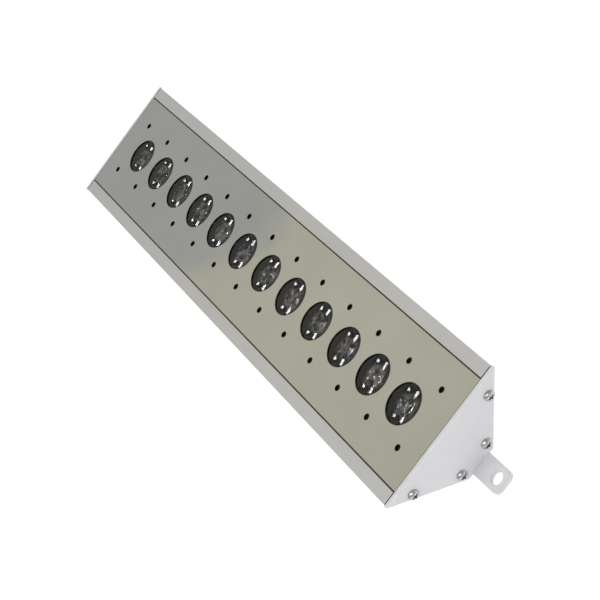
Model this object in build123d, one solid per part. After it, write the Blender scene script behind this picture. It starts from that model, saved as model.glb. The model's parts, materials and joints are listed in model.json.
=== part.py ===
from build123d import *
import math
import os

# Linear pool light. A V-shaped extruded housing carries a row of lensed LEDs, potted in resin behind
# a pierced front plate, and is closed by two bent end caps whose lugs bolt to the pool wall.
# X runs along the lamp, Y across it, and +Z is the way it shines. The origin is midway between
# the lugs, on their underside. All sizes are in millimetres.

# Row of lenses
lens_count = 12
lens_pitch = 37.7
end_margin = 23.8             # from the last pitch cell to the outer face of an end cap

# Housing section
front_width = 104.0           # between the sharp tips of the rims
base_width = 22.4
wall = 3.0
base_wall = 3.0
web_thickness = 3.0
driver_room = 22.8            # clear height between the web and the base
tip_radius = 0.5
base_radius = 1.2
rim_width = 9.9
ledge_width = 5.0
ledge_thickness = 2.5

# Front plate and the seals along its sides
plate_thickness = 0.8
plate_recess = 0.3            # below the rims
plate_end_gap = 0.4           # between the plate and an end cap
seal_width = 0.8
seal_recess = 0.6             # below the rims
lens_hole_diameter = 28.0
small_hole_diameter = 4.2     # in the front plate, over each board screw

# Lens, its holder and the LED below it
lens_lap = 0.8                # of the lens under the edge of its hole in the plate
lens_to_plate = 0.1           # between the lens and the underside of the plate
lens_to_board = 8.4           # from the front of the lens to the LED board
lens_flange_thickness = 1.6
lens_dome_diameter = 14.0
lens_dome_height = 1.5
lens_turn = 11.0              # degrees, of the two bosses round the lens's axis
lens_boss_offset = 9.0        # of a boss from the lens's axis
lens_boss_diameter = 12.6     # at its foot
lens_boss_top_diameter = 9.8
lens_boss_height = 0.7
lens_boss_to_hole = 0.3       # between the cut-off edge of a boss and the hole in the plate
lens_bore_diameter = 3.6
lens_countersink_diameter = 6.4
holder_clearance = 0.2
holder_seat_clearance = 0.05  # under the lens's flange
holder_wall = 1.5
holder_floor = 1.5
holder_rim_drop = 0.3         # of the holder's rim below the front of the lens
led_base_size = 5.0
led_base_height = 0.8
led_dome_diameter = 4.4

# LED board, the pad under it and the potting over it
board_thickness = 1.6
board_side_clearance = 8.4
board_end = 8.0               # board beyond the last row of screws
pad_thickness = 0.5
screw_to_board_edge = 6.0
potting_thickness = 5.0
potting_end = 4.5             # potting beyond the last row of screws

# Board screws
board_screw_diameter = 3.0
board_screw_head_diameter = 5.6
board_screw_head_height = 1.9

# End caps, their gaskets and screws
cap_thickness = 3.0
cap_overhang = 0.6            # beyond the housing's sloping sides
cap_edge_radius = 1.0
gasket_thickness = 1.0
gasket_inset = 0.3
gasket_band = 8.5
cap_screw_diameter = 3.5
cap_screw_head_diameter = 7.0
cap_screw_head_height = 2.4
cap_screw_length = 13.0
screw_boss_wall = 1.45
upper_screw_along = 18.3      # down the sloping side from the rim tip
upper_screw_inset = 3.6       # square to the sloping side
lower_screw_along = 5.9       # up the sloping side from the base corner
lower_screw_inset = 4.9

# Mounting lugs, bent out of the end caps
lug_length = 24.0
lug_width = 16.0
lug_corner_radius = 4.0
lug_bend_radius = 0.4
lug_hole_diameter = 9.0
lug_hole_to_cap = 16.0

# Cable gland in the left end cap
gland_depth = 18.0            # of its axis below the front plane
gland_thread_diameter = 16.0
gland_thread_length = 8.5     # inside the outer face of the cap
gland_washer_band = 2.0
gland_washer_thickness = 1.5
gland_hex_height = 5.0
gland_cable_diameter = 8.0
gland_bore_step = 1.0         # the body's bore is wider than the cable by this much each side
gland_seal_wall = 2.1
gland_seal_length = 8.0
gland_spigot_wall = 1.2
gland_spigot_length = 5.5
gland_nut_wall = 1.95
gland_nut_hex_height = 6.0
gland_nut_dome_height = 5.0
gland_nut_top_thickness = 1.6
locknut_width_step = 6.0      # the locknut is wider across flats than the thread
locknut_thickness = 4.0

# Driver in the lower chamber
driver_length = 220.0
driver_board_thickness = 1.6
driver_pad_thickness = 1.5
driver_pad_margin = 0.5
driver_side_clearance = 0.9
inductor_diameter = 8.0
inductor_height = 8.0
capacitor_diameter = 6.3
capacitor_height = 8.5
chip_length = 10.0
chip_width = 6.0
chip_height = 1.75
terminal_length = 8.0
terminal_height = 6.0

# Leads from the driver to the LED board
lead_count = 4
lead_pitch = 2.4
lead_diameter = 1.4
lead_bend_radius = 5.0
lead_pad_length = 3.0
lead_to_gasket = 5.0

# Shared fits
thread_clearance = 0.05       # radial, screw in its threaded hole
hole_clearance = 0.25         # radial, screw in a clearance hole
gland_fit = 0.1               # radial, between the gland's own pieces
lead_clearance = 0.05
notch_clearance = 1.0
potting_clearance = 0.1       # radial, round pieces that stand in the potting

# Derived along the lamp
body_length = lens_count * lens_pitch + 2 * end_margin
cap_outer_x = body_length / 2
cap_inner_x = cap_outer_x - cap_thickness
housing_end_x = cap_inner_x - gasket_thickness
plate_end_x = cap_inner_x - plate_end_gap
last_screw_x = lens_count * lens_pitch / 2
board_end_x = last_screw_x + board_end
potting_end_x = last_screw_x + potting_end
lens_x = [(i - (lens_count - 1) / 2) * lens_pitch for i in range(lens_count)]
screw_x = [(i - lens_count / 2) * lens_pitch for i in range(lens_count + 1)]

# Derived depths, measured down from the front plane
ledge_depth = plate_recess + plate_thickness
chamber_depth = ledge_depth + ledge_thickness
lens_depth = ledge_depth + lens_to_plate
board_depth = lens_depth + lens_to_board
potting_depth = board_depth - potting_thickness
web_depth = board_depth + board_thickness + pad_thickness
driver_room_depth = web_depth + web_thickness
base_depth = driver_room_depth + driver_room
section_depth = base_depth + base_wall
front_z = cap_thickness + section_depth

# Derived across the section
front_half = front_width / 2
base_half = base_width / 2
slope = (front_half - base_half) / section_depth
slope_length = math.hypot(1, slope)
pocket_half = front_half - rim_width
plate_half = pocket_half - seal_width


def height(depth):
    """Z of a depth below the front plane."""
    return front_z - depth


def outer_half(depth):
    """Half width of the section's outside at a depth."""
    return front_half - depth * slope


def inner_half(depth):
    """Half width of the section's inside at a depth."""
    return outer_half(depth) - wall * slope_length


def upper_screw_place():
    """Y and depth of an upper end-cap screw, set out from the rim tip."""
    y = front_half - (upper_screw_along * slope + upper_screw_inset) / slope_length
    depth = (upper_screw_along - upper_screw_inset * slope) / slope_length
    return y, depth


def lower_screw_place():
    """Y and depth of a lower end-cap screw, set out from the base corner."""
    y = base_half + (lower_screw_along * slope - lower_screw_inset) / slope_length
    depth = section_depth - (lower_screw_along + lower_screw_inset * slope) / slope_length
    return y, depth


cap_screw_places = []
for screw_y, screw_depth in (upper_screw_place(), lower_screw_place()):
    cap_screw_places.append((screw_y, height(screw_depth)))
    cap_screw_places.append((-screw_y, height(screw_depth)))
screw_boss_radius = cap_screw_diameter / 2 + screw_boss_wall

board_half = inner_half(web_depth) - board_side_clearance
board_screw_y = board_half - screw_to_board_edge
board_screw_places = [(x, side * board_screw_y) for x in screw_x for side in (-1, 1)]

lens_radius = lens_hole_diameter / 2 + lens_lap
lens_dome_radius = lens_dome_diameter / 2
lens_bore_radius = lens_bore_diameter / 2
holder_inner_radius = lens_radius + holder_clearance
holder_outer_radius = holder_inner_radius + holder_wall
boss_x = lens_boss_offset * math.sin(math.radians(lens_turn))
boss_y = lens_boss_offset * math.cos(math.radians(lens_turn))
lens_boss_places = [(-boss_x, boss_y), (boss_x, -boss_y)]

driver_half = lower_screw_place()[0] - screw_boss_radius - driver_side_clearance
driver_board_depth = base_depth - driver_pad_thickness - driver_board_thickness
driver_top_z = height(driver_board_depth)
terminal_width = lead_count * lead_pitch

gland_z = height(gland_depth)
gland_thread_radius = gland_thread_diameter / 2
gland_washer_radius = gland_thread_radius + gland_washer_band
gland_cable_radius = gland_cable_diameter / 2
gland_seal_radius = gland_cable_radius + gland_seal_wall
gland_spigot_bore = gland_seal_radius + gland_fit
gland_spigot_radius = gland_spigot_bore + gland_spigot_wall
gland_nut_bore = gland_spigot_radius + gland_fit
gland_hex_half = gland_nut_bore + gland_nut_wall
gland_hex_base = gland_washer_thickness
gland_hex_top = gland_hex_base + gland_hex_height
gland_nut_base = gland_hex_top + gland_fit
gland_nut_hex_top = gland_nut_base + gland_nut_hex_height
gland_nut_top = gland_nut_hex_top + gland_nut_dome_height
gland_seal_top = gland_nut_top - gland_nut_top_thickness - gland_fit
gland_seal_base = gland_seal_top - gland_seal_length
locknut_half = gland_thread_radius + locknut_width_step / 2
locknut_corner = locknut_half / math.cos(math.pi / 6)
notch_half = locknut_corner + notch_clearance


def trapezoid(top_half, top_depth, bottom_half, bottom_depth):
    """Symmetric section face, in Y and Z."""
    return make_face(Polyline(
        (top_half, height(top_depth)),
        (bottom_half, height(bottom_depth)),
        (-bottom_half, height(bottom_depth)),
        (-top_half, height(top_depth)),
        close=True,
    ))


def along_x(face, start, end):
    """Section face drawn out from one X to another."""
    return extrude(Plane.YZ.offset(start) * face, amount=end - start)


def sheet(half_length, half_width, top_depth, thickness):
    """Flat rectangular sheet whose top lies at a depth."""
    return Pos(0, 0, height(top_depth)) * Box(
        2 * half_length, 2 * half_width, thickness,
        align=(Align.CENTER, Align.CENTER, Align.MAX),
    )


def pin(radius, low, high, x=0.0, y=0.0):
    """Upright cylinder between two heights."""
    return Pos(x, y, low) * Cylinder(
        radius, high - low, align=(Align.CENTER, Align.CENTER, Align.MIN))


def at_left_end(shape):
    """Mirror a right-end shape to the left end."""
    return mirror(shape, about=Plane.YZ)


def group(shapes):
    """Separate solids kept together in one node."""
    return Compound([shape.solid() for shape in shapes])


def outline(overhang=0.0):
    """Outside of the housing's section, with its tips and base corners rounded."""
    face = trapezoid(front_half + overhang, 0, base_half + overhang, section_depth)
    face = fillet(face.vertices().group_by(Axis.Y)[-1], tip_radius)
    return fillet(face.vertices().group_by(Axis.Y)[0], base_radius)


def housing_section():
    """Extruded section: plate pocket, ledges, LED chamber, web and driver chamber."""
    face = outline()
    face -= trapezoid(pocket_half, -tip_radius, pocket_half, ledge_depth)
    ledge_half = pocket_half - ledge_width
    face -= trapezoid(ledge_half, ledge_depth, ledge_half, chamber_depth)
    face -= trapezoid(inner_half(chamber_depth), chamber_depth, inner_half(web_depth), web_depth)
    face -= trapezoid(inner_half(driver_room_depth), driver_room_depth,
                      inner_half(base_depth), base_depth)
    for y, z in cap_screw_places:
        face += Pos(y, z) * Circle(screw_boss_radius)
    face = face & outline()
    for y, z in cap_screw_places:
        face -= Pos(y, z) * Circle(cap_screw_diameter / 2 + thread_clearance)
    return face


def make_housing():
    body = along_x(housing_section(), -housing_end_x, housing_end_x)
    notch_start = board_end_x + notch_clearance
    notch = Pos(notch_start, 0, height(web_depth)) * Box(
        housing_end_x - notch_start, 2 * notch_half, web_thickness,
        align=(Align.MIN, Align.CENTER, Align.MAX))
    body -= notch
    body -= at_left_end(notch)
    hole_radius = board_screw_diameter / 2 + thread_clearance
    for x, y in board_screw_places:
        body -= pin(hole_radius, height(driver_room_depth), height(web_depth), x, y)
    return body


def make_front_plate():
    """Plate between the rims, with a hole over each lens and each board screw."""
    front_plate = sheet(plate_end_x, plate_half, plate_recess, plate_thickness)
    low = height(ledge_depth)
    high = height(plate_recess)
    for x in lens_x:
        front_plate -= pin(lens_hole_diameter / 2, low, high, x)
    for x, y in board_screw_places:
        front_plate -= pin(small_hole_diameter / 2, low, high, x, y)
    return front_plate


def make_plate_seals():
    """Sealing beads between the front plate and the rims."""
    bead_height = ledge_depth - seal_recess
    bead = Pos(0, plate_half, height(ledge_depth)) * Box(
        2 * plate_end_x, seal_width, bead_height, align=(Align.CENTER, Align.MIN, Align.MIN))
    return group([bead, mirror(bead, about=Plane.XZ)])


def drilled_sheet(top_depth, thickness):
    """Sheet under the lenses, with a clearance hole for each board screw."""
    drilled = sheet(board_end_x, board_half, top_depth, thickness)
    for x, y in board_screw_places:
        drilled -= pin(board_screw_diameter / 2 + hole_clearance,
                       height(top_depth + thickness), height(top_depth), x, y)
    return drilled


def make_potting():
    """Resin poured over the LED board, its screws and the screw bosses, round the lens holders."""
    face = trapezoid(inner_half(potting_depth), potting_depth, inner_half(web_depth), web_depth)
    for y, z in cap_screw_places:
        face -= Pos(y, z) * Circle(screw_boss_radius + potting_clearance)
    pool = face.faces().sort_by(SortBy.AREA)[-1]
    resin = along_x(pool, -potting_end_x, potting_end_x)
    resin -= sheet(board_end_x, board_half, board_depth, board_thickness + pad_thickness)
    low = height(board_depth)
    for x in lens_x:
        resin -= pin(holder_outer_radius + potting_clearance, low, height(potting_depth), x)
    head_radius = board_screw_head_diameter / 2 + potting_clearance
    for x, y in board_screw_places:
        resin -= pin(head_radius, low, low + board_screw_head_height + potting_clearance, x, y)
    return resin


def pan_screw(diameter, head_diameter, head_height, length):
    """Cross-recessed pan-head screw: head above Z = 0, shank below it."""
    shank = diameter / 2
    head = head_diameter / 2
    side_height = 0.4 * head_height
    crown_mid = (0.72 * head, 0.84 * head_height)
    sides = Polyline((0, head_height), (0, -length), (shank / 2, -length), (shank, -length + shank),
                     (shank, 0), (head, 0), (head, side_height))
    crown = ThreePointArc((head, side_height), crown_mid, (0, head_height))
    screw = revolve(Plane.XZ * make_face(sides + crown), Axis.Z)
    recess_width = 0.16 * head_diameter
    recess_span = 0.56 * head_diameter
    recess_depth = 0.6 * head_height
    cross = Rectangle(recess_span, recess_width) + Rectangle(recess_width, recess_span)
    return screw - Pos(0, 0, head_height - recess_depth) * extrude(cross, amount=head_height)


def make_board_screws():
    length = board_thickness + pad_thickness + web_thickness
    screw = pan_screw(board_screw_diameter, board_screw_head_diameter, board_screw_head_height, length)
    return group([Pos(x, y, height(board_depth)) * screw for x, y in board_screw_places])


def upright_cone(low_radius, high_radius, low, high, x=0.0, y=0.0):
    """Upright cone frustum between two heights."""
    return Pos(x, y, low) * Cone(
        low_radius, high_radius, high - low, align=(Align.CENTER, Align.CENTER, Align.MIN))


def make_lens():
    """Moulded lens, its front at Z = 0: flange, shallow dome over the LED and two countersunk bosses."""
    tip = -lens_flange_thickness - lens_dome_height
    ball_radius = (lens_dome_radius ** 2 + lens_dome_height ** 2) / (2 * lens_dome_height)
    dome = Pos(0, 0, tip + ball_radius) * Sphere(ball_radius)
    lens = pin(lens_radius, -lens_flange_thickness, 0)
    lens += dome & pin(lens_dome_radius, tip, -lens_flange_thickness)
    view = pin(lens_hole_diameter / 2 - lens_boss_to_hole, 0, lens_boss_height)
    for x, y in lens_boss_places:
        boss = upright_cone(lens_boss_diameter / 2, lens_boss_top_diameter / 2, 0, lens_boss_height, x, y)
        lens += boss & view
    for x, y in lens_boss_places:
        lens -= upright_cone(lens_bore_radius, lens_countersink_diameter / 2, 0, lens_boss_height, x, y)
        lens -= pin(lens_bore_radius, -lens_flange_thickness, 0, x, y)
    return lens


def make_lens_holder():
    """Cup under a lens: a window below the dome and a peg in each boss. The lens front is Z = 0."""
    rim = -holder_rim_drop
    seat = -lens_flange_thickness - holder_seat_clearance
    holder = pin(holder_outer_radius, -lens_to_board, rim)
    holder -= pin(holder_inner_radius, seat, rim)
    holder -= pin(holder_inner_radius, -lens_to_board, seat - holder_floor)
    holder -= pin(lens_dome_radius + holder_clearance, seat - holder_floor, seat)
    for x, y in lens_boss_places:
        holder += pin(lens_bore_radius - holder_clearance, seat, 0, x, y)
    return holder


def make_led():
    """LED on its base, with the base's underside at Z = 0."""
    base = Box(led_base_size, led_base_size, led_base_height,
               align=(Align.CENTER, Align.CENTER, Align.MIN))
    dome_radius = led_dome_diameter / 2
    dome = Sphere(dome_radius) & pin(dome_radius, 0, dome_radius)
    return base + Pos(0, 0, led_base_height) * dome


def make_end_gasket():
    """Flat ring between the right end of the housing and its cap, cut down under the front plate."""
    ring = offset(outline(), -gasket_inset, kind=Kind.INTERSECTION)
    ring -= offset(outline(), -gasket_band, kind=Kind.INTERSECTION)
    ring -= trapezoid(pocket_half, -tip_radius, pocket_half, ledge_depth)
    for y, z in cap_screw_places:
        ring -= Pos(y, z) * Circle(cap_screw_diameter / 2 + hole_clearance)
    return along_x(ring, housing_end_x, cap_inner_x)


def make_lug():
    """Lug bent out from the foot of the right end cap, with its bolt hole."""
    tip_x = cap_outer_x + lug_length
    leg_top = cap_thickness + base_radius + cap_edge_radius
    profile = make_face(Polyline(
        (cap_inner_x, leg_top), (cap_inner_x, 0), (tip_x, 0), (tip_x, cap_thickness),
        (cap_outer_x, cap_thickness), (cap_outer_x, leg_top), close=True))
    heel = profile.vertices().sort_by_distance((cap_inner_x, 0))[0]
    profile = fillet(heel, lug_bend_radius + cap_thickness)
    crook = profile.vertices().sort_by_distance((cap_outer_x, cap_thickness))[0]
    profile = fillet(crook, lug_bend_radius)
    lug = extrude(Plane.XZ * profile, amount=lug_width / 2, both=True)
    lug = fillet(lug.edges().filter_by(Axis.Z).group_by(Axis.X)[-1], lug_corner_radius)
    return lug - pin(lug_hole_diameter / 2, 0, cap_thickness, cap_outer_x + lug_hole_to_cap)


def make_end_cap():
    """Right end cap, with screw holes and its lug."""
    cap = along_x(outline(cap_overhang), cap_inner_x, cap_outer_x)
    cap = fillet(cap.faces().sort_by(Axis.X)[-1].edges(), cap_edge_radius)
    cap += make_lug()
    for y, z in cap_screw_places:
        hole = Pos(y, z) * Circle(cap_screw_diameter / 2 + hole_clearance)
        cap -= along_x(hole, cap_inner_x, cap_outer_x)
    return cap


def make_cap_screws():
    """The four screws of the right end cap."""
    screw = pan_screw(cap_screw_diameter, cap_screw_head_diameter, cap_screw_head_height, cap_screw_length)
    return group([Pos(cap_outer_x, y, z) * Rot(0, 90, 0) * screw for y, z in cap_screw_places])


def on_gland_axis(shape):
    """Place a gland piece: Z = 0 on the left cap's outer face, +Z out of the lamp."""
    return Pos(-cap_outer_x, 0, gland_z) * Rot(0, -90, 0) * shape


def hexagon(half_width, low, high):
    """Hexagonal prism with two flats facing up and down on the lamp."""
    prism = extrude(RegularPolygon(half_width, 6, major_radius=False, rotation=30), amount=high - low)
    return Pos(0, 0, low) * prism


def make_gland_washer():
    ring = pin(gland_washer_radius, 0, gland_washer_thickness)
    return ring - pin(gland_thread_radius + gland_fit, 0, gland_washer_thickness)


def make_gland_body():
    """Threaded stem, hexagon and the spigot that holds the seal."""
    spigot_top = gland_hex_top + gland_spigot_length
    body = pin(gland_thread_radius, -gland_thread_length, gland_hex_base)
    body += hexagon(gland_hex_half, gland_hex_base, gland_hex_top)
    body += pin(gland_spigot_radius, gland_hex_top, spigot_top)
    body -= pin(gland_cable_radius + gland_bore_step, -gland_thread_length, spigot_top)
    return body - pin(gland_spigot_bore, gland_seal_base, spigot_top)


def make_gland_seal():
    sleeve = pin(gland_seal_radius, gland_seal_base, gland_seal_top)
    return sleeve - pin(gland_cable_radius, gland_seal_base, gland_seal_top)


def make_gland_nut():
    """Domed nut that squeezes the seal on to the cable."""
    nut = hexagon(gland_hex_half, gland_nut_base, gland_nut_hex_top)
    mouth = gland_cable_radius + gland_bore_step
    nut += Pos(0, 0, gland_nut_hex_top) * Cone(
        gland_hex_half, mouth + gland_nut_wall, gland_nut_dome_height,
        align=(Align.CENTER, Align.CENTER, Align.MIN))
    shoulder = gland_nut_top - gland_nut_top_thickness
    nut -= pin(gland_nut_bore, gland_nut_base, gland_nut_hex_top)
    nut -= pin(gland_spigot_bore, gland_nut_hex_top, shoulder)
    return nut - pin(mouth, shoulder, gland_nut_top)


def make_gland_locknut():
    nut = hexagon(locknut_half, -cap_thickness - locknut_thickness, -cap_thickness)
    return nut - pin(gland_thread_radius + gland_fit, -cap_thickness - locknut_thickness, -cap_thickness)


def make_driver_pad():
    return sheet(driver_length / 2, driver_half - driver_pad_margin,
                 base_depth - driver_pad_thickness, driver_pad_thickness)


def make_driver_board():
    return sheet(driver_length / 2, driver_half, driver_board_depth, driver_board_thickness)


def make_driver_components():
    """Coils, capacitors and chips standing in a row on the driver board."""
    step = driver_length / 10
    parts = []
    for slot in (-3, 0, 3):
        parts.append(pin(inductor_diameter / 2, driver_top_z, driver_top_z + inductor_height, slot * step))
    for slot in (-2, 2):
        parts.append(pin(capacitor_diameter / 2, driver_top_z, driver_top_z + capacitor_height,
                         slot * step))
    for slot in (-1, 1):
        parts.append(Pos(slot * step, 0, driver_top_z) * Box(
            chip_length, chip_width, chip_height, align=(Align.CENTER, Align.CENTER, Align.MIN)))
    return group(parts)


def make_driver_terminals():
    """A terminal block at each end of the driver board."""
    block = Box(terminal_length, terminal_width, terminal_height,
                align=(Align.MAX, Align.CENTER, Align.MIN))
    block = Pos(driver_length / 2, 0, driver_top_z) * block
    return group([block, at_left_end(block)])


def make_board_leads():
    """Leads from the right terminal block, up through the web's notch, on to the LED board."""
    top_z = height(board_depth) + lead_diameter / 2 + lead_clearance
    low_z = driver_top_z + terminal_height / 2
    turn_x = housing_end_x - lead_to_gasket
    leads = []
    for i in range(lead_count):
        y = (i - (lead_count - 1) / 2) * lead_pitch
        route = FilletPolyline(
            (driver_length / 2, y, low_z), (turn_x, y, low_z),
            (turn_x, y, top_z), (board_end_x - lead_pad_length, y, top_z),
            radius=lead_bend_radius)
        start = Plane(route @ 0, z_dir=route % 0)
        leads.append(sweep(start * Circle(lead_diameter / 2), path=route))
    return group(leads)


nodes = {
    "housing": make_housing(),
    "front_plate": make_front_plate(),
    "plate_seals": make_plate_seals(),
    "led_board": drilled_sheet(board_depth, board_thickness),
    "thermal_pad": drilled_sheet(board_depth + board_thickness, pad_thickness),
    "board_screws": make_board_screws(),
    "potting": make_potting(),
    "driver_pad": make_driver_pad(),
    "driver_board": make_driver_board(),
    "driver_components": make_driver_components(),
    "driver_terminals": make_driver_terminals(),
    "board_leads": make_board_leads(),
}

lens = make_lens()
lens_holder = make_lens_holder()
led = make_led()
for number, x in enumerate(lens_x, start=1):
    nodes[f"lens_{number:02d}"] = Pos(x, 0, height(lens_depth)) * lens
    nodes[f"lens_holder_{number:02d}"] = Pos(x, 0, height(lens_depth)) * lens_holder
    nodes[f"led_{number:02d}"] = Pos(x, 0, height(board_depth)) * led

end_cap = make_end_cap()
end_gasket = make_end_gasket()
cap_screws = make_cap_screws()
gland_hole = on_gland_axis(pin(gland_thread_radius + gland_fit, -cap_thickness, 0))
locknut_window = on_gland_axis(
    pin(locknut_corner + notch_clearance, -cap_thickness - gasket_thickness, -cap_thickness))
nodes["end_cap_right"] = end_cap
nodes["end_cap_left"] = at_left_end(end_cap) - gland_hole
nodes["end_gasket_right"] = end_gasket
nodes["end_gasket_left"] = at_left_end(end_gasket) - locknut_window
nodes["end_cap_screws_right"] = cap_screws
nodes["end_cap_screws_left"] = at_left_end(cap_screws)

nodes["gland_washer"] = on_gland_axis(make_gland_washer())
nodes["gland_body"] = on_gland_axis(make_gland_body())
nodes["gland_seal"] = on_gland_axis(make_gland_seal())
nodes["gland_nut"] = on_gland_axis(make_gland_nut())
nodes["gland_locknut"] = on_gland_axis(make_gland_locknut())

os.makedirs("parts", exist_ok=True)
for name, shape in nodes.items():
    export_step(shape, f"parts/{name}.step")
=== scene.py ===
import json
import math
import random

import bmesh
import bpy
from mathutils import Matrix, Quaternion, Vector


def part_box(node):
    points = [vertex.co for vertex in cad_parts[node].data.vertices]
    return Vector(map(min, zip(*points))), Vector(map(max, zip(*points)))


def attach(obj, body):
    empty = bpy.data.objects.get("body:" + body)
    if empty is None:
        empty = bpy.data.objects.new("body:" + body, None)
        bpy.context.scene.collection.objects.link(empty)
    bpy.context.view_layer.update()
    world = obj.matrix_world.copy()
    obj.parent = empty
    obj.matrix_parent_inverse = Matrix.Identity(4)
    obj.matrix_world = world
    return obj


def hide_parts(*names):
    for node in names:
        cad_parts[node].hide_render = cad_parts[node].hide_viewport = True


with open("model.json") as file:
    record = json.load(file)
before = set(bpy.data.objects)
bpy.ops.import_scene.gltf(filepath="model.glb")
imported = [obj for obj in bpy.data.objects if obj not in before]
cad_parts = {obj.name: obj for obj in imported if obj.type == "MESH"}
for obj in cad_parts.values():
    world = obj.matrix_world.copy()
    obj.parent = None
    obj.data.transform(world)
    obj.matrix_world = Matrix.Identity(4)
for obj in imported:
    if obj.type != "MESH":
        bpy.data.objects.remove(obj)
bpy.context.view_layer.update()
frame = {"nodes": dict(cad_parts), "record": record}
nodes = frame["nodes"]
scene = bpy.context.scene
scene.view_settings.view_transform = "Standard"

# Lengths are in metres, apart from those that a name or comment gives in millimetres
MM = 0.001

# Camera, fitted to the holes, rims and cap edges that the photo shows
CAMERA_PLACE = Vector((0.91056, 0.10005, 0.70657))
CAMERA_AIM = Vector((0.01230, -0.00363, 0.0))
CAMERA_ROLL = -57.328             # degrees about the line of sight
FOCAL_LENGTH = 97.0624            # mm
SENSOR_WIDTH = 36.0               # mm
VIEW_REACH = 60.0


def make_camera():
    data = bpy.data.cameras.new("camera")
    data.sensor_width = SENSOR_WIDTH
    data.lens = FOCAL_LENGTH
    data.clip_end = VIEW_REACH
    camera = bpy.data.objects.new("camera", data)
    scene.collection.objects.link(camera)
    level = (CAMERA_AIM - CAMERA_PLACE).to_track_quat("-Z", "Y")
    roll = Quaternion((0, 0, 1), math.radians(CAMERA_ROLL))
    camera.matrix_world = Matrix.LocRotScale(CAMERA_PLACE, level @ roll, None)
    scene.camera = camera


make_camera()

# Spans of values that several materials use
WHOLE = (0.0, 1.0)
NOISE_SPAN = (0.3, 0.7)           # where nearly all of a noise texture's values lie
EDGE_SPAN = (0.80, 0.995)         # cosine of a rounded edge's turn away from its face
RECESS_SPAN = (0.25, 0.85)        # share of open sky, from deep in a recess to its rim
BEVEL_SAMPLES = 6
RECESS_SAMPLES = 8


# Short calls for building a material's nodes
class Surface:
    def __init__(self, name):
        self.material = bpy.data.materials.new(name)
        self.material.use_nodes = True
        self.tree = self.material.node_tree
        self.shader = self.tree.nodes["Principled BSDF"]
        self.place = None

    def add(self, kind, settings=None, **inputs):
        node = self.tree.nodes.new("ShaderNode" + kind)
        for key, value in (settings or {}).items():
            setattr(node, key, value)
        for key, value in inputs.items():
            self.put(node.inputs[key.replace("_", " ")], value)
        return node

    def put(self, socket, value):
        if isinstance(value, bpy.types.NodeSocket):
            self.tree.links.new(value, socket)
        else:
            socket.default_value = value

    def set(self, **inputs):
        for key, value in inputs.items():
            self.put(self.shader.inputs[key.replace("_", " ")], value)

    def coords(self, scale):
        if self.place is None:
            self.place = self.add("TexCoord").outputs["Object"]
        return self.add("Mapping", Vector=self.place, Scale=scale).outputs["Vector"]

    def noise(self, size_mm, detail=3.0, rough=0.5, stretch=(1, 1, 1)):
        place = self.coords(tuple(share / (size_mm * MM) for share in stretch))
        node = self.add("TexNoise", Vector=place, Scale=1.0, Detail=detail, Roughness=rough)
        return node.outputs["Fac"]

    def spread(self, value, span, to=WHOLE):
        """Map a span of values to another, and hold what lies outside at its ends."""
        node = self.add("MapRange", Value=value)
        node.inputs["From Min"].default_value, node.inputs["From Max"].default_value = span
        node.inputs["To Min"].default_value, node.inputs["To Max"].default_value = to
        return node.outputs["Result"]

    def mix(self, share, a, b):
        node = self.add("Mix", {"data_type": "RGBA"})
        self.put(node.inputs["Factor"], share)
        colors = [socket for socket in node.inputs if socket.type == "RGBA"]
        for socket, color in zip(colors, (a, b)):
            self.put(socket, color if isinstance(color, bpy.types.NodeSocket) else (*color, 1.0))
        return next(socket for socket in node.outputs if socket.type == "RGBA")

    def math(self, operation, a, b=0.0):
        node = self.add("Math", {"operation": operation})
        self.put(node.inputs[0], a)
        self.put(node.inputs[1], b)
        return node.outputs[0]

    def times(self, a, b):
        return self.math("MULTIPLY", a, b)

    def bump(self, height, depth_mm, strength, over=None):
        node = self.add("Bump", Height=height, Strength=strength, Distance=depth_mm * MM)
        if over is not None:
            self.put(node.inputs["Normal"], over)
        return node.outputs["Normal"]

    def rounded(self, radius_mm):
        return self.add("Bevel", {"samples": BEVEL_SAMPLES}, Radius=radius_mm * MM).outputs["Normal"]

    def lying_flat(self):
        """1 on faces that lie flat, 0 on upright ones."""
        normal = self.add("NewGeometry").outputs["True Normal"]
        tilt = self.add("SeparateXYZ", Vector=normal).outputs["Z"]
        return self.math("GREATER_THAN", self.math("ABSOLUTE", tilt), 0.5)

    def open_to_air(self, reach_mm):
        """0 deep in a recess, 1 in the open; used to paint shade into recesses."""
        node = self.add("AmbientOcclusion", {"samples": RECESS_SAMPLES}, Distance=reach_mm * MM)
        return self.spread(node.outputs["AO"], RECESS_SPAN)

    def edges(self, radius_mm):
        """1 along sharp edges, 0 on flat faces."""
        turn = self.add("VectorMath", {"operation": "DOT_PRODUCT"})
        self.put(turn.inputs[0], self.rounded(radius_mm))
        self.put(turn.inputs[1], self.add("NewGeometry").outputs["Normal"])
        return self.spread(turn.outputs["Value"], EDGE_SPAN, (1.0, 0.0))


def toned(color, share, lift=0.0):
    """A colour made darker or paler."""
    return tuple(min(1.0, part * share + lift) for part in color)


# Materials, one function for each kind
def powder_coat(name, color):
    """Sprayed coat: orange peel, faint clouding and edges where it is thin and greyer."""
    look = Surface(name)
    cloud = look.noise(60, detail=4)
    peel = look.noise(1.6, detail=2)
    tone = look.mix(look.spread(cloud, (0.35, 0.65)), toned(color, 0.93), color)
    tone = look.mix(look.times(look.edges(0.6), 0.8), tone, toned(color, 0.72))
    look.set(Base_Color=tone, Roughness=look.spread(peel, NOISE_SPAN, (0.36, 0.46)), IOR=1.48)
    look.set(Normal=look.bump(peel, 0.05, 0.35, over=look.rounded(0.35)))
    return look.material


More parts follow.
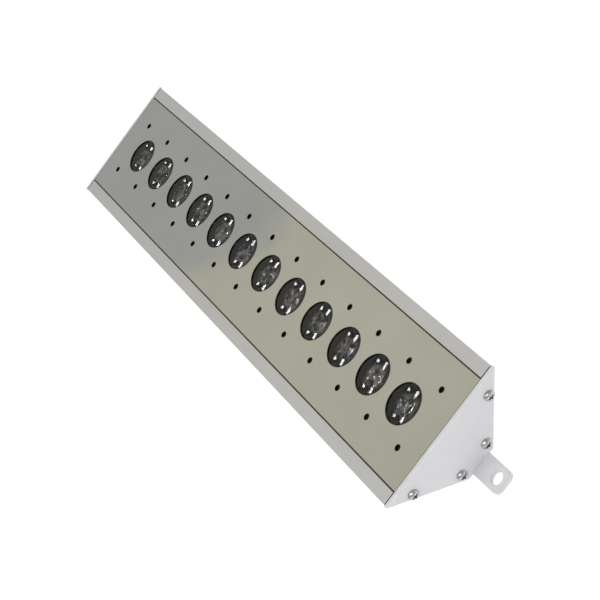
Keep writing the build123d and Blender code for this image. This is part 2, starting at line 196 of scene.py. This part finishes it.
def polished_plate(name, pale, dark, edge, wall_shade):
    """Polished sheet with a faint rolling grain and wiped marks; its dark edges and darker hole walls are
    painted shade.
    """
    look = Surface(name)
    cloud = look.noise(45, detail=4)
    smear = look.noise(16, detail=5, rough=0.6, stretch=(0.5, 1, 1))
    grain = look.noise(0.5, detail=2, stretch=(0.02, 1, 1))
    tone = look.mix(look.spread(cloud, NOISE_SPAN), dark, pale)
    # Painted shade: dark lines along the plate's edges and hole rims.
    tone = look.mix(look.times(look.edges(1.0), 0.9), tone, edge)
    # Painted shade: upright faces, the hole walls among them, get a near-black colour.
    look.set(Base_Color=look.mix(look.lying_flat(), wall_shade, tone), Metallic=1.0)
    look.set(Roughness=look.spread(smear, (0.35, 0.75), (0.06, 0.13)))
    look.set(Normal=look.bump(grain, 0.004, 0.2))
    return look.material


def drawn_metal(name, color):
    """Satin anodised extrusion: fine die lines along its length and soft clouding."""
    look = Surface(name)
    cloud = look.noise(50, detail=4)
    lines = look.noise(0.7, detail=3, rough=0.6, stretch=(0.003, 1, 1))
    fine = look.noise(0.35, detail=2)
    tone = look.mix(look.spread(cloud, (0.35, 0.65)), toned(color, 0.95), color)
    tone = look.mix(look.times(look.edges(0.4), 0.5), tone, toned(color, 1.05))
    look.set(Base_Color=tone, Roughness=look.spread(fine, NOISE_SPAN, (0.34, 0.44)), Metallic=0.9)
    look.set(Normal=look.bump(lines, 0.02, 0.25, over=look.rounded(0.3)))
    return look.material


def rubber(name, color):
    """Matt rubber with a fine grain and dusty patches."""
    look = Surface(name)
    grain = look.noise(0.5)
    cloud = look.noise(12)
    look.set(Base_Color=look.mix(look.spread(cloud, (0.4, 0.75)), color, toned(color, 1.6, 0.008)))
    look.set(Roughness=look.spread(grain, NOISE_SPAN, (0.62, 0.80)))
    look.set(Normal=look.bump(grain, 0.03, 0.5))
    return look.material


def moulded(name, color, rough=0.45, shine=0.5):
    """Moulded plastic with a fine sparked grain."""
    look = Surface(name)
    grain = look.noise(0.35, detail=2)
    cloud = look.noise(9)
    look.set(Base_Color=look.mix(look.spread(cloud, (0.35, 0.75)), color, toned(color, 1.35, 0.004)))
    look.set(Roughness=look.spread(grain, NOISE_SPAN, (rough - 0.06, rough + 0.08)))
    look.set(Normal=look.bump(grain, 0.015, 0.4, over=look.rounded(0.15)), Specular_IOR_Level=shine)
    return look.material


def steel(name, color):
    """Bright turned steel, dull in patches, and darkened in the recesses of the screw heads by painted
    shade.
    """
    look = Surface(name)
    fine = look.noise(0.4)
    cloud = look.noise(3.0)
    tone = look.mix(look.spread(cloud, (0.3, 0.75)), color, toned(color, 0.7))
    # Painted shade: the colour goes almost black deep in the recesses.
    look.set(Base_Color=look.mix(look.open_to_air(1.2), toned(color, 0.06), tone), Metallic=1.0)
    look.set(Roughness=look.spread(fine, NOISE_SPAN, (0.22, 0.38)))
    look.set(Normal=look.bump(fine, 0.01, 0.4, over=look.rounded(0.12)))
    return look.material


def resin(name, color, speck):
    """Poured resin with a wavy, glossy top."""
    look = Surface(name)
    waves = look.noise(14, detail=2)
    specks = look.noise(0.8, detail=2)
    look.set(Base_Color=look.mix(look.spread(specks, (0.55, 0.8)), color, speck))
    look.set(Roughness=look.spread(waves, NOISE_SPAN, (0.18, 0.34)))
    look.set(Normal=look.bump(waves, 0.4, 0.4))
    return look.material


def board(name, color, copper):
    """Solder mask with a faint grid of tracks under it."""
    look = Surface(name)
    bricks = look.add("TexBrick", {"offset": 0.5}, Vector=look.coords((1 / MM,) * 3),
                      Scale=0.12, Mortar_Size=0.04)
    tracks = bricks.outputs["Fac"]
    look.set(Base_Color=look.mix(look.times(tracks, 0.5), color, copper))
    look.set(Roughness=look.spread(look.noise(0.7), NOISE_SPAN, (0.28, 0.42)))
    look.set(Normal=look.bump(tracks, 0.03, 0.5))
    return look.material


def phosphor(name, color, speck):
    """Yellow phosphor of the LEDs, finely specked."""
    look = Surface(name)
    specks = look.noise(0.25, detail=2)
    look.set(Base_Color=look.mix(look.spread(specks, (0.35, 0.7)), color, speck))
    look.set(Roughness=look.spread(specks, NOISE_SPAN, (0.35, 0.45)))
    look.set(Normal=look.bump(specks, 0.01, 0.3))
    return look.material


# The painted patch in the middle of each lens: brownish colour that stands for what the lens refracts
# from inside, in mm
LENS_RADIUS = 14.8
PAINTED_PATCH_OFFSET = 2.5                # of its centre along X from the lens's axis
PAINTED_PATCH_FADE = (6.0, 10.5)          # radii where it is full and where it has gone


def painted_lens_patch(look):
    """Mask of the painted patch: 1 in the middle of a lens's front, 0 near its rim and on its back."""
    across = look.add("SeparateXYZ", Vector=look.add("TexCoord").outputs["Generated"])
    x = look.spread(across.outputs["X"], WHOLE, (-LENS_RADIUS - PAINTED_PATCH_OFFSET, LENS_RADIUS - PAINTED_PATCH_OFFSET))
    y = look.spread(across.outputs["Y"], WHOLE, (-LENS_RADIUS, LENS_RADIUS))
    radius = look.math("SQRT", look.math("ADD", look.times(x, x), look.times(y, y)))
    in_front = look.math("GREATER_THAN", across.outputs["Z"], 0.5)
    return look.times(look.spread(radius, PAINTED_PATCH_FADE, (1.0, 0.0)), in_front)


def clear_lens(name, shade_tint, brown, grey):
    """Clear moulded silicone, a little wavy, with painted shade and light in its colour: a dark tint that
    stands for the shade seen through it, and a mottled brown and grey patch in its middle that stands for
    what it refracts from inside.
    """
    look = Surface(name)
    waves = look.noise(2.2, detail=2)
    fine = look.noise(0.5, detail=2)
    painted_mottle = look.spread(look.noise(3.4, detail=1), (0.38, 0.68))
    patch = look.mix(look.spread(look.noise(5.0, detail=1), (0.40, 0.60)), brown, grey)
    # Painted shade and light: the dark tint all over, and in the middle a mottled brown and grey patch
    # that stands for what the lens refracts from inside
    look.set(Base_Color=look.mix(look.times(painted_mottle, painted_lens_patch(look)), shade_tint, patch))
    look.set(Roughness=look.spread(fine, (0.35, 0.7), (0.0, 0.03)))
    look.set(Normal=look.bump(waves, 0.02, 0.25), Transmission_Weight=0.83, IOR=1.41)
    return look.material


materials = {
    "housing_metal": drawn_metal("housing_metal", (0.735, 0.722, 0.708)),
    # The plate's edge and wall colours are painted shade.
    "plate_metal": polished_plate(
        "plate_metal", pale=(0.625, 0.625, 0.580), dark=(0.585, 0.590, 0.545),
        edge=(0.10, 0.095, 0.085), wall_shade=(0.03, 0.03, 0.03)),
    "cap_coat": powder_coat("cap_coat", (0.655, 0.655, 0.672)),
    "black_rubber": rubber("black_rubber", (0.012, 0.012, 0.012)),
    "board_black": board("board_black", (0.012, 0.012, 0.014), copper=(0.05, 0.045, 0.04)),
    "board_green": board("board_green", (0.012, 0.10, 0.04), copper=(0.10, 0.16, 0.06)),
    "grey_pad": rubber("grey_pad", (0.22, 0.23, 0.25)),
    "steel": steel("steel", (0.54, 0.54, 0.55)),
    "black_resin": resin("black_resin", (0.050, 0.046, 0.036), speck=(0.090, 0.084, 0.068)),
    "component_black": moulded("component_black", (0.02, 0.02, 0.022)),
    "terminal_green": moulded("terminal_green", (0.03, 0.20, 0.07), rough=0.35),
    "lead_red": moulded("lead_red", (0.35, 0.02, 0.02), rough=0.35),
    # The lens colours are painted: the dark tint stands for shade seen through the lens, the brown and
    # grey for what it refracts from inside.
    "clear_lens": clear_lens(
        "clear_lens", shade_tint=(0.044, 0.043, 0.040), brown=(0.86, 0.73, 0.60), grey=(0.68, 0.69, 0.70)),
    "holder_black": moulded("holder_black", (0.005, 0.005, 0.0055), rough=0.5, shine=0.25),
    "led_emitter": phosphor("led_emitter", (0.48, 0.32, 0.11), speck=(0.64, 0.46, 0.19)),
    "gland_nylon": moulded("gland_nylon", (0.016, 0.016, 0.016), rough=0.5),
}


def dress(thing, material):
    thing.data.materials.clear()
    thing.data.materials.append(material)


for part in frame["record"]["subparts"]:
    dress(nodes[part["node"]], materials[part["material_slot"]])

# Lenses: the CAD shape, with pebbles moulded on the middle of the front, in mm
LENS_COUNT = 12
LENS_BOSS_HEIGHT = 0.7            # of the two bosses above the flat of the front
PAD_RADIUS = 7.4                  # of the pebbled disc
PAD_OFFSET = 1.2                  # of its centre along X from the lens's axis
PAD_SINK = 0.4                    # of its underside below the flat of the front
PAD_LIFT = 0.01                   # of its lowest part above that flat
PAD_FADE = 0.8                    # width over which the pebbles shrink to nothing at its rim
PAD_SIDES = 144
PAD_RINGS = 36
PEBBLE_PITCH = 2.4
PEBBLE_ROW_STEP = 0.866           # between rows, as a share of the pitch
PEBBLE_ROWS = 5                   # on each side of the middle row
PEBBLE_JITTER = 0.55
PEBBLE_HEIGHT = 0.38
PEBBLE_LEAST = 0.6                # height of the lowest pebble, as a share of the highest
PEBBLE_REACH = 0.62 * PEBBLE_PITCH
PEBBLE_SEED = 7
WELD_DISTANCE = 0.001             # between CAD corners that are one point
CREASE_ANGLE = 14.0               # degrees, above which an edge is sharp
FLAT_LEAST = 0.99999              # upright share of a flat face's normal


def scatter_pebbles():
    """Centre and share of full height of each pebble, in jittered rows."""
    draw = random.Random(PEBBLE_SEED)
    pebbles = []
    for row in range(-PEBBLE_ROWS, PEBBLE_ROWS + 1):
        for column in range(-PEBBLE_ROWS, PEBBLE_ROWS + 1):
            x = (column + 0.5 * (row % 2)) * PEBBLE_PITCH + draw.uniform(-PEBBLE_JITTER, PEBBLE_JITTER)
            y = row * PEBBLE_ROW_STEP * PEBBLE_PITCH + draw.uniform(-PEBBLE_JITTER, PEBBLE_JITTER)
            pebbles.append((x, y, draw.uniform(PEBBLE_LEAST, 1.0)))
    return pebbles


def pebble_height(x, y, pebbles):
    """Height of the pebbled disc above the flat of the lens's front."""
    away, share = min((math.hypot(x - px, y - py), share) for px, py, share in pebbles)
    crown = PEBBLE_HEIGHT * share * max(0.0, 1.0 - (away / PEBBLE_REACH) ** 2)
    fade = min(1.0, (PAD_RADIUS - math.hypot(x, y)) / PAD_FADE)
    return PAD_LIFT + crown * fade


def pebble_pad():
    """Closed disc with a pebbled top, sunk a little into the lens."""
    pebbles = scatter_pebbles()
    shape = bmesh.new()

    def top_point(x, y):
        return shape.verts.new(((x + PAD_OFFSET) * MM, y * MM, pebble_height(x, y, pebbles) * MM))

    centre = top_point(0, 0)
    rings = []
    for step in range(1, PAD_RINGS + 1):
        radius = PAD_RADIUS * step / PAD_RINGS
        turns = [2 * math.pi * side / PAD_SIDES for side in range(PAD_SIDES)]
        rings.append([top_point(radius * math.cos(turn), radius * math.sin(turn)) for turn in turns])
    rings.append([shape.verts.new((point.co.x, point.co.y, -PAD_SINK * MM)) for point in rings[-1]])
    for side in range(PAD_SIDES):
        after = (side + 1) % PAD_SIDES
        shape.faces.new((centre, rings[0][side], rings[0][after]))
        for inner, outer in zip(rings, rings[1:]):
            shape.faces.new((inner[side], outer[side], outer[after], inner[after]))
    shape.faces.new(reversed(rings[-1]))
    bmesh.ops.recalc_face_normals(shape, faces=shape.faces)
    return finished("pebble_pad", shape)


def finished(name, shape):
    """An object made from a mesh under construction."""
    mesh = bpy.data.meshes.new(name)
    shape.to_mesh(mesh)
    shape.free()
    thing = bpy.data.objects.new(name, mesh)
    scene.collection.objects.link(thing)
    return thing


def lens_middle(node):
    """Where a lens's axis meets the flat of its front."""
    low, high = (Vector(corner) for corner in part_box(node))
    return Vector(((low.x + high.x) / 2, (low.y + high.y) / 2, high.z - LENS_BOSS_HEIGHT * MM))


def plain_lens(node):
    """The CAD lens, welded and with its axis at the origin."""
    shape = bmesh.new()
    shape.from_mesh(nodes[node].data)
    bmesh.ops.remove_doubles(shape, verts=shape.verts, dist=WELD_DISTANCE * MM)
    bmesh.ops.translate(shape, verts=shape.verts, vec=-lens_middle(node))
    return finished("plain_lens", shape)


def pebbled_mesh():
    """The CAD lens joined to the pebbled disc, with its axis at the origin."""
    lens = plain_lens("lens_01")
    pad = pebble_pad()
    join = lens.modifiers.new("join", "BOOLEAN")
    join.operation = "UNION"
    join.solver = "EXACT"
    join.object = pad
    bpy.context.view_layer.update()
    joined = lens.evaluated_get(bpy.context.evaluated_depsgraph_get())
    mesh = bpy.data.meshes.new_from_object(joined)
    for thing in (lens, pad):
        bpy.data.objects.remove(thing)
    mesh.set_sharp_from_angle(angle=math.radians(CREASE_ANGLE))
    for polygon in mesh.polygons:
        polygon.use_smooth = abs(polygon.normal.z) < FLAT_LEAST
    return mesh


def make_lenses():
    pattern = pebbled_mesh()
    made = []
    for number in range(1, LENS_COUNT + 1):
        node = f"lens_{number:02d}"
        mesh = pattern.copy()
        mesh.transform(Matrix.Translation(lens_middle(node)))
        lens = bpy.data.objects.new(f"pebbled_{node}", mesh)
        scene.collection.objects.link(lens)
        dress(lens, materials["clear_lens"])
        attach(lens, "root")
        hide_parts(node)
        made.append(lens)
    return made


lenses = make_lenses()

# Floor, reflection card, lights and surroundings
WHITE = (1.0, 1.0, 1.0, 1.0)
BLACK = (0.0, 0.0, 0.0, 1.0)
FLOOR_REACH = 40.0                # from the middle to each side
FLOOR_DROP = 0.0003               # below the object's underside
FLOOR_GREY = (0.40, 0.40, 0.40, 1.0)
FLOOR_GLOW = 0.80
CARD_X = -1.2
CARD_CORNERS = [(-0.60, 0.42), (-0.093, 0.932), (0.25, 0.80), (0.25, 2.2), (-0.60, 2.2)]      # Y, Z
CARD_WARM = (1.0, 0.975, 0.845, 1.0)
CARD_GLOW = 0.572
OVERHEAD_HEIGHT = 2.0
OVERHEAD_SIZE = 1.25
OVERHEAD_GLOW = 25.0              # watts from each square metre into each steradian
SKY_COLOR = (0.985, 1.0, 1.0, 1.0)
SKY_GLOW = 0.50


def make_panel(name, corners, look):
    """Flat piece of staging with one face."""
    mesh = bpy.data.meshes.new(name)
    mesh.from_pydata(corners, [], [range(len(corners))])
    panel = bpy.data.objects.new(name, mesh)
    scene.collection.objects.link(panel)
    dress(panel, look.material)
    return panel


def make_floor():
    look = Surface("floor")
    look.set(Base_Color=FLOOR_GREY, Roughness=0.9, Emission_Color=WHITE, Emission_Strength=FLOOR_GLOW)
    signs = [(-1, -1), (1, -1), (1, 1), (-1, 1)]
    make_panel("floor", [(x * FLOOR_REACH, y * FLOOR_REACH, -FLOOR_DROP) for x, y in signs], look)


def make_card():
    """Warm card whose edge the glossy front plate mirrors."""
    look = Surface("card")
    look.set(Base_Color=BLACK, Emission_Color=CARD_WARM, Emission_Strength=CARD_GLOW)
    card = make_panel("card", [(CARD_X, y, z) for y, z in CARD_CORNERS], look)
    card.visible_diffuse = False


def make_light(name, place, aim, size, watts):
    data = bpy.data.lights.new(name, "AREA")
    data.shape = "DISK"
    data.size = size
    data.energy = watts
    light = bpy.data.objects.new(name, data)
    light.location = place
    light.rotation_euler = (Vector(aim) - Vector(place)).to_track_quat("-Z", "Y").to_euler()
    scene.collection.objects.link(light)
    return light


def make_overhead():
    """Wide lamp high over the object that only the lenses mirror."""
    watts = OVERHEAD_GLOW * math.pi * math.pi * OVERHEAD_SIZE ** 2 / 4
    light = make_light("overhead", (0, 0, OVERHEAD_HEIGHT), (0, 0, 0), OVERHEAD_SIZE, watts)
    light.visible_diffuse = False
    light.visible_transmission = False
    mirrors = bpy.data.collections.new("mirrors")
    for lens in lenses:
        mirrors.objects.link(lens)
    light.light_linking.receiver_collection = mirrors


def make_world():
    world = bpy.data.worlds.new("studio")
    scene.world = world
    world.use_nodes = True
    sky = world.node_tree.nodes["Background"]
    sky.inputs["Color"].default_value = SKY_COLOR
    sky.inputs["Strength"].default_value = SKY_GLOW


make_floor()
make_card()
make_world()
make_light("top", place=(0.15, -0.2, 2.2), aim=(0.1, 0, 0), size=1.0, watts=10.0)
make_light("key", place=(0.7, -0.9, 1.2), aim=(0.1, 0, 0), size=0.18, watts=2.4)
make_light("fill", place=(1.3, -0.2, 1.2), aim=(0.25, 0, 0.02), size=0.6, watts=6.0)
make_overhead()
make_light("rim", place=(-0.1, 1.1, 1.2), aim=(0, 0, 0), size=0.18, watts=2.4)
